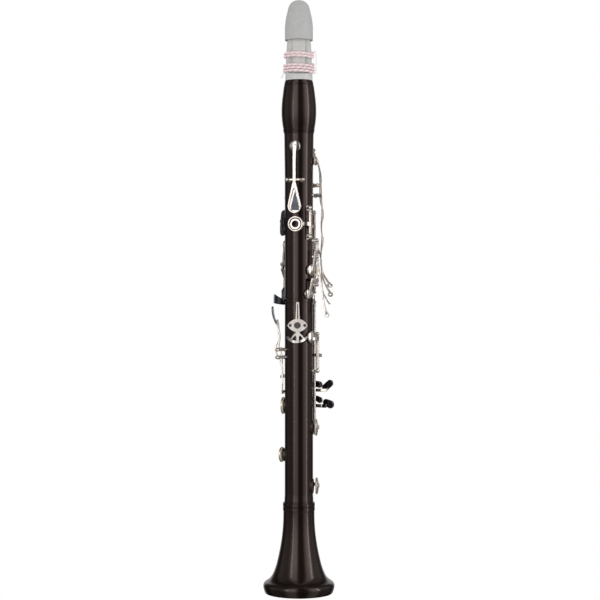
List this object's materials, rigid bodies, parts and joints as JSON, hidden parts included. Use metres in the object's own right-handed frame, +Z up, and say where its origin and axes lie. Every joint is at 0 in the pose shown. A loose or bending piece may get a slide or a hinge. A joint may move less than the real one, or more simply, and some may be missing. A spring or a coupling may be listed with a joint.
{
  "type": "clarinet",
  "caption": "Wooden soprano clarinet with sprung see-saw and long-rod keys, finger rings, a sliding thumb hook, a tuning barrel and a capped mouthpiece.",
  "frame": {"origin": "centre of the bell's rim, on the surface that the upright instrument stands on", "axes": "+Z up the bore towards the mouthpiece; -Y towards the player's thumb, +X towards the player's right"},
  "size_m": [0.0694, 0.0694, 0.5775],
  "materials": {
    "grenadilla": "oiled and polished blackwood",
    "silver_plate": "polished silver plate",
    "dark_plate": "polished plate, dark where it mirrors the room",
    "steel_rod": "ground steel",
    "pad_skin": "fish skin over felt",
    "cork": "waxed sheet cork",
    "ebonite": "pale grey satin ebonite",
    "cane": "dry cane",
    "cap_grey": "light grey satin",
    "cord": "twisted red and white cord"
  },
  "bodies": {
    "body": {"bell": "grenadilla", "lower_joint": "grenadilla", "lower_joint_cork": "cork", "lower_posts": "silver_plate", "lower_rods": "steel_rod", "register_vent": "silver_plate", "thumb_bush": "silver_plate", "thumb_rest_plate": "silver_plate", "thumb_rest_screws": "silver_plate", "upper_joint": "grenadilla", "upper_joint_foot_cork": "cork", "upper_joint_top_cork": "cork", "upper_posts": "silver_plate", "upper_rods": "steel_rod"},
    "barrel": {"barrel": "grenadilla", "mouthpiece": "ebonite", "reed": "cane", "mouthpiece_cork": "cork", "ligature_cord": "cord"},
    "cap": {"mouthpiece_cap": "cap_grey"},
    "thumb_hook": {"thumb_rest_slide": "silver_plate"},
    "register_key": {"register_key": "silver_plate", "register_pad": "pad_skin"},
    "thumb_ring_key": {"thumb_ring_key": "silver_plate"},
    "throat_a_key": {"throat_a_key": "silver_plate", "throat_a_pad": "pad_skin"},
    "throat_g_sharp_key": {"throat_g_sharp_key": "silver_plate", "throat_g_sharp_pad": "pad_skin"},
    "upper_ring_key": {"upper_ring_key": "silver_plate", "upper_ring_pad": "pad_skin"},
    "bridge_ring_key": {"bridge_ring_key": "silver_plate", "bridge_ring_pad": "pad_skin"},
    "side_e_flat_key": {"side_e_flat_key": "silver_plate", "side_e_flat_pad": "pad_skin"},
    "side_f_sharp_key": {"side_f_sharp_key": "silver_plate", "side_f_sharp_pad": "pad_skin"},
    "upper_trill_key": {"upper_trill_key": "silver_plate", "upper_trill_pad": "pad_skin"},
    "lower_trill_key": {"lower_trill_key": "silver_plate", "lower_trill_pad": "pad_skin"},
    "e_flat_key": {"e_flat_key": "silver_plate", "e_flat_pad": "pad_skin"},
    "c_sharp_key": {"c_sharp_key": "silver_plate", "c_sharp_pad": "pad_skin"},
    "lower_ring_key": {"lower_ring_key": "silver_plate", "lower_ring_pad": "pad_skin"},
    "b_key": {"b_key": "silver_plate", "b_pad": "pad_skin"},
    "f_sharp_key": {"f_sharp_key": "silver_plate", "f_sharp_pad": "pad_skin"},
    "f_touch_lever": {"f_touch_lever": "silver_plate"},
    "e_key": {"e_key": "silver_plate", "e_pad": "pad_skin"},
    "a_flat_key": {"a_flat_key": "silver_plate", "a_flat_pad": "pad_skin"},
    "f_key": {"f_key": "silver_plate", "f_pad": "pad_skin"},
    "e_lever": {"e_lever": "silver_plate"},
    "f_sharp_lever": {"f_sharp_lever": "silver_plate"}
  },
  "joints": [
    {"name": "tuning_slide", "type": "slide", "parent": "body", "child": "barrel", "axis": [0, 0, 1], "range_m": [0, 0.003]},
    {"name": "cap_slide", "type": "slide", "parent": "barrel", "child": "cap", "axis": [0, 0, 1], "range_m": [0, 0.07]},
    {"name": "thumb_hook_slide", "type": "slide", "parent": "body", "child": "thumb_hook", "axis": [0, 0, 1], "range_m": [-0.004, 0.002]},
    {"name": "register_key_pivot", "type": "hinge", "parent": "body", "child": "register_key", "pos_m": [-0.00391, -0.01695, 0.401], "axis": [0.9744, -0.225, 0], "range_deg": [0, 5], "stiffness_Nm_per_rad": 0.03, "springref_deg": -17.19},
    {"name": "thumb_ring_key_pivot", "type": "hinge", "parent": "body", "child": "thumb_ring_key", "pos_m": [0.0107, -0.01472, 0.36], "axis": [0, 0, -1], "range_deg": [0, 7], "stiffness_Nm_per_rad": 0.03, "springref_deg": -17.19},
    {"name": "throat_a_key_pivot", "type": "hinge", "parent": "body", "child": "throat_a_key", "pos_m": [0.00391, 0.01695, 0.392], "axis": [-0.9744, 0.225, 0], "range_deg": [0, 4.5], "stiffness_Nm_per_rad": 0.03, "springref_deg": -17.19},
    {"name": "throat_g_sharp_key_pivot", "type": "hinge", "parent": "body", "child": "throat_g_sharp_key", "pos_m": [-0.0079, 0.0155, 0.385], "axis": [-0.891, -0.454, 0], "range_deg": [0, 4.5], "stiffness_Nm_per_rad": 0.03, "springref_deg": -17.19},
    {"name": "upper_ring_key_pivot", "type": "hinge", "parent": "body", "child": "upper_ring_key", "pos_m": [0.01509, 0.01018, 0.355], "axis": [0, 0, 1], "range_deg": [0, 7], "stiffness_Nm_per_rad": 0.03, "springref_deg": -17.19},
    {"name": "bridge_ring_key_pivot", "type": "hinge", "parent": "body", "child": "bridge_ring_key", "pos_m": [0.01509, 0.01018, 0.315], "axis": [0, 0, 1], "range_deg": [0, 7], "stiffness_Nm_per_rad": 0.03, "springref_deg": -17.19},
    {"name": "side_e_flat_key_pivot", "type": "hinge", "parent": "body", "child": "side_e_flat_key", "pos_m": [0.01766, -0.0044, 0.313], "axis": [0, 0, 1], "range_deg": [0, 7], "stiffness_Nm_per_rad": 0.03, "springref_deg": -17.19},
    {"name": "side_f_sharp_key_pivot", "type": "hinge", "parent": "body", "child": "side_f_sharp_key", "pos_m": [0.01766, -0.0044, 0.335], "axis": [0, 0, 1], "range_deg": [0, 6], "stiffness_Nm_per_rad": 0.03, "springref_deg": -17.19},
    {"name": "upper_trill_key_pivot", "type": "hinge", "parent": "body", "child": "upper_trill_key", "pos_m": [0.01645, 0.00566, 0.397], "axis": [-0.3256, 0.9455, 0], "range_deg": [0, 1.8], "stiffness_Nm_per_rad": 0.03, "springref_deg": -17.19},
    {"name": "lower_trill_key_pivot", "type": "hinge", "parent": "body", "child": "lower_trill_key", "pos_m": [0.01716, 0.00287, 0.387], "axis": [-0.165, 0.9863, 0], "range_deg": [0, 1.8], "stiffness_Nm_per_rad": 0.03, "springref_deg": -17.19},
    {"name": "e_flat_key_pivot", "type": "hinge", "parent": "body", "child": "e_flat_key", "pos_m": [-0.00622, 0.0171, 0.315], "axis": [0, 0, -1], "range_deg": [0, 6], "stiffness_Nm_per_rad": 0.03, "springref_deg": -17.19},
    {"name": "c_sharp_key_pivot", "type": "hinge", "parent": "body", "child": "c_sharp_key", "pos_m": [-0.01333, 0.01118, 0.32], "axis": [-0.6428, -0.766, 0], "range_deg": [0, 5], "stiffness_Nm_per_rad": 0.03, "springref_deg": -17.19},
    {"name": "lower_ring_key_pivot", "type": "hinge", "parent": "body", "child": "lower_ring_key", "pos_m": [0.01509, 0.01018, 0.248], "axis": [0, 0, 1], "range_deg": [0, 7], "stiffness_Nm_per_rad": 0.03, "springref_deg": -17.19},
    {"name": "b_key_pivot", "type": "hinge", "parent": "body", "child": "b_key", "pos_m": [0.0181, -0.0019, 0.234], "axis": [0, 0, 1], "range_deg": [0, 5], "stiffness_Nm_per_rad": 0.03, "springref_deg": -17.19},
    {"name": "f_sharp_key_pivot", "type": "hinge", "parent": "body", "child": "f_sharp_key", "pos_m": [0.01509, 0.01018, 0.185], "axis": [0, 0, -1], "range_deg": [0, 6], "stiffness_Nm_per_rad": 0.03, "springref_deg": -17.19},
    {"name": "f_touch_lever_pivot", "type": "hinge", "parent": "body", "child": "f_touch_lever", "pos_m": [0.00991, 0.01526, 0.202], "axis": [0, 0, -1], "range_deg": [0, 5], "stiffness_Nm_per_rad": 0.03, "springref_deg": -17.19},
    {"name": "e_key_pivot", "type": "hinge", "parent": "body", "child": "e_key", "pos_m": [0.00991, 0.01526, 0.15], "axis": [0, 0, -1], "range_deg": [0, 6], "stiffness_Nm_per_rad": 0.03, "springref_deg": -17.19},
    {"name": "a_flat_key_pivot", "type": "hinge", "parent": "body", "child": "a_flat_key", "pos_m": [-0.00253, 0.01802, 0.181], "axis": [0, 0, -1], "range_deg": [0, 4.5], "stiffness_Nm_per_rad": 0.03, "springref_deg": -17.19},
    {"name": "f_key_pivot", "type": "hinge", "parent": "body", "child": "f_key", "pos_m": [-0.00769, 0.01649, 0.168], "axis": [0, 0, 1], "range_deg": [0, 6], "stiffness_Nm_per_rad": 0.03, "springref_deg": -17.19},
    {"name": "e_lever_pivot", "type": "hinge", "parent": "body", "child": "e_lever", "pos_m": [-0.01946, 0.00308, 0.2368], "axis": [0.1564, 0.9877, 0], "range_deg": [0, 4.5], "stiffness_Nm_per_rad": 0.03, "springref_deg": -17.19},
    {"name": "f_sharp_lever_pivot", "type": "hinge", "parent": "body", "child": "f_sharp_lever", "pos_m": [-0.01946, 0.00308, 0.2294], "axis": [0.1564, 0.9877, 0], "range_deg": [0, 6.5], "stiffness_Nm_per_rad": 0.03, "springref_deg": -17.19}
  ],
  "couplings": [
    {"joint": "upper_ring_key_pivot", "follows": "thumb_ring_key_pivot", "ratio": 1},
    {"joint": "bridge_ring_key_pivot", "follows": "lower_ring_key_pivot", "ratio": 1},
    {"joint": "f_key_pivot", "follows": "f_touch_lever_pivot", "ratio": 1.2},
    {"joint": "e_key_pivot", "follows": "e_lever_pivot", "ratio": 1.333},
    {"joint": "f_sharp_key_pivot", "follows": "f_sharp_lever_pivot", "ratio": 0.923}
  ]
}
